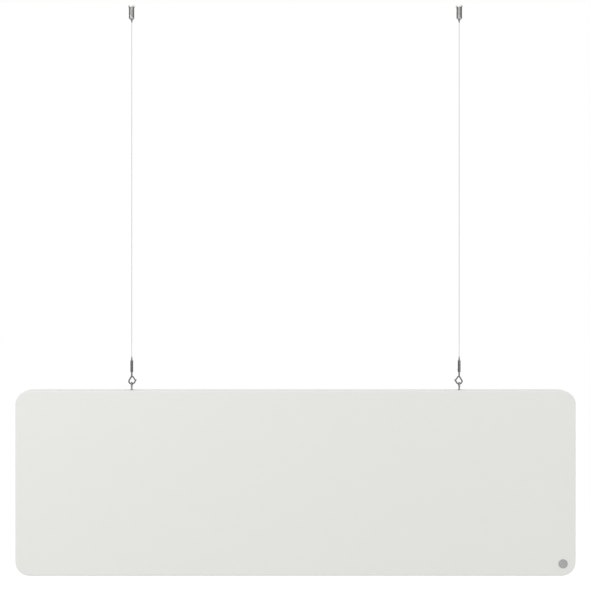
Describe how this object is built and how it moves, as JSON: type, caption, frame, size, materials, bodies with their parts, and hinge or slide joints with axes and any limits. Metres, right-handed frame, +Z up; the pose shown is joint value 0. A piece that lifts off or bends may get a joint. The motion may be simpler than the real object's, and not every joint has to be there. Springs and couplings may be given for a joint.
{
  "type": "hanging acoustic panel",
  "caption": "Fabric-covered acoustic screen panel with rounded corners, hung by eye bolts and snap hooks on thin wires from ceiling fittings.",
  "frame": {"origin": "on the ceiling plane, midway between the two ceiling screw holes", "axes": "+Z up out of the ceiling screw holes, +X along the panel towards its badge end, +Y from the panel's front face to its rear face"},
  "size_m": [1.8, 0.0514, 1.8375],
  "materials": {
    "nickel": "polished",
    "gripper_nickel": "polished",
    "ferrule": "satin",
    "wire_rope": "satin",
    "plated_steel": "satin",
    "gate_steel": "satin",
    "bearing_steel": "polished",
    "spring_steel": "satin",
    "brass_insert": "satin",
    "cover_fabric": "matte",
    "pad_felt": "matte",
    "acoustic_core": "matte",
    "timber": "matte",
    "dowel_wood": "matte",
    "edge_spline": "matte",
    "badge_metal": "satin"
  },
  "bodies": {
    "ceiling_fittings": {"left_ceiling_base": "nickel", "left_ceiling_sleeve": "nickel", "right_ceiling_base": "nickel", "right_ceiling_sleeve": "nickel"},
    "left_nipple": {"left_ball_nipple": "nickel", "left_crimp_ferrule": "ferrule", "left_nipple_wire": "wire_rope"},
    "left_wire": {"left_suspension_wire": "wire_rope"},
    "left_hook": {"left_snap_hook": "plated_steel", "left_gate_pin": "plated_steel", "left_gate_spring": "spring_steel"},
    "left_gripper": {"left_gripper_barrel": "gripper_nickel", "left_clamp_cone": "brass_insert", "left_wire_guide": "brass_insert", "left_gripper_plug": "gripper_nickel", "left_gripper_wire": "wire_rope", "left_clamp_spring": "spring_steel"},
    "left_release": {"left_release_nozzle": "nickel", "left_clamp_balls": "bearing_steel"},
    "left_gate": {"left_gate_latch": "gate_steel"},
    "right_nipple": {"right_ball_nipple": "nickel", "right_crimp_ferrule": "ferrule", "right_nipple_wire": "wire_rope"},
    "right_wire": {"right_suspension_wire": "wire_rope"},
    "right_hook": {"right_snap_hook": "plated_steel", "right_gate_pin": "plated_steel", "right_gate_spring": "spring_steel"},
    "right_gripper": {"right_gripper_barrel": "gripper_nickel", "right_clamp_cone": "brass_insert", "right_wire_guide": "brass_insert", "right_gripper_plug": "gripper_nickel", "right_gripper_wire": "wire_rope", "right_clamp_spring": "spring_steel"},
    "right_release": {"right_release_nozzle": "nickel", "right_clamp_balls": "bearing_steel"},
    "right_gate": {"right_gate_latch": "gate_steel"},
    "panel": {"left_eye_bolt": "plated_steel", "right_eye_bolt": "plated_steel", "left_threaded_insert": "brass_insert", "right_threaded_insert": "brass_insert", "front_cover": "cover_fabric", "rear_cover": "cover_fabric", "front_pad": "pad_felt", "rear_pad": "pad_felt", "edge_spline": "edge_spline", "top_rail": "timber", "bottom_rail": "timber", "left_stile": "timber", "right_stile": "timber", "corner_blocks": "timber", "left_brace": "timber", "right_brace": "timber", "left_core": "acoustic_core", "middle_core": "acoustic_core", "right_core": "acoustic_core", "frame_dowels": "dowel_wood", "badge_disc": "badge_metal", "badge_backing": "badge_metal"}
  },
  "joints": [
    {"name": "left_swing", "type": "hinge", "parent": "ceiling_fittings", "child": "left_nipple", "pos_m": [-0.53, 0, -0.04], "axis": [1, 0, 0], "range_deg": [-15, 15]},
    {"name": "left_sway", "type": "hinge", "parent": "left_nipple", "child": "left_wire", "pos_m": [-0.53, 0, -0.054], "axis": [0, 1, 0], "range_deg": [-6, 6]},
    {"name": "left_level", "type": "hinge", "parent": "left_wire", "child": "left_hook", "pos_m": [-0.53, 0, -1.134], "axis": [0, 1, 0], "range_deg": [-6, 6]},
    {"name": "left_swivel", "type": "hinge", "parent": "left_hook", "child": "left_gripper", "pos_m": [-0.53, 0, -1.1847], "axis": [0, 0, 1], "continuous": true},
    {"name": "left_release_push", "type": "slide", "parent": "left_gripper", "child": "left_release", "axis": [0, 0, -1], "range_m": [0, 0.0025], "stiffness_N_per_m": 500, "deforming": ["left_clamp_spring"]},
    {"name": "left_gate_open", "type": "hinge", "parent": "left_hook", "child": "left_gate", "pos_m": [-0.5266, 0, -1.1994], "axis": [0, 1, 0], "range_deg": [0, 25], "stiffness_Nm_per_rad": 0.03},
    {"name": "right_swing", "type": "hinge", "parent": "ceiling_fittings", "child": "right_nipple", "pos_m": [0.53, 0, -0.04], "axis": [1, 0, 0], "range_deg": [-15, 15]},
    {"name": "right_sway", "type": "hinge", "parent": "right_nipple", "child": "right_wire", "pos_m": [0.53, 0, -0.054], "axis": [0, 1, 0], "range_deg": [-6, 6]},
    {"name": "right_level", "type": "hinge", "parent": "right_wire", "child": "right_hook", "pos_m": [0.53, 0, -1.134], "axis": [0, 1, 0], "range_deg": [-6, 6]},
    {"name": "right_swivel", "type": "hinge", "parent": "right_hook", "child": "right_gripper", "pos_m": [0.53, 0, -1.1847], "axis": [0, 0, 1], "continuous": true},
    {"name": "right_release_push", "type": "slide", "parent": "right_gripper", "child": "right_release", "axis": [0, 0, -1], "range_m": [0, 0.0025], "stiffness_N_per_m": 500, "deforming": ["right_clamp_spring"]},
    {"name": "right_gate_open", "type": "hinge", "parent": "right_hook", "child": "right_gate", "pos_m": [0.5266, 0, -1.1994], "axis": [0, -1, 0], "range_deg": [0, 25], "stiffness_Nm_per_rad": 0.03},
    {"name": "panel_tilt", "type": "hinge", "parent": "left_hook", "child": "panel", "pos_m": [-0.53, 0, -1.2229], "axis": [1, 0, 0], "range_deg": [-20, 20]}
  ],
  "couplings": [
    {"joint": "right_swing", "follows": "left_swing", "ratio": 1},
    {"joint": "right_sway", "follows": "left_sway", "ratio": 1},
    {"joint": "left_level", "follows": "left_sway", "ratio": -1},
    {"joint": "right_level", "follows": "left_sway", "ratio": -1}
  ]
}
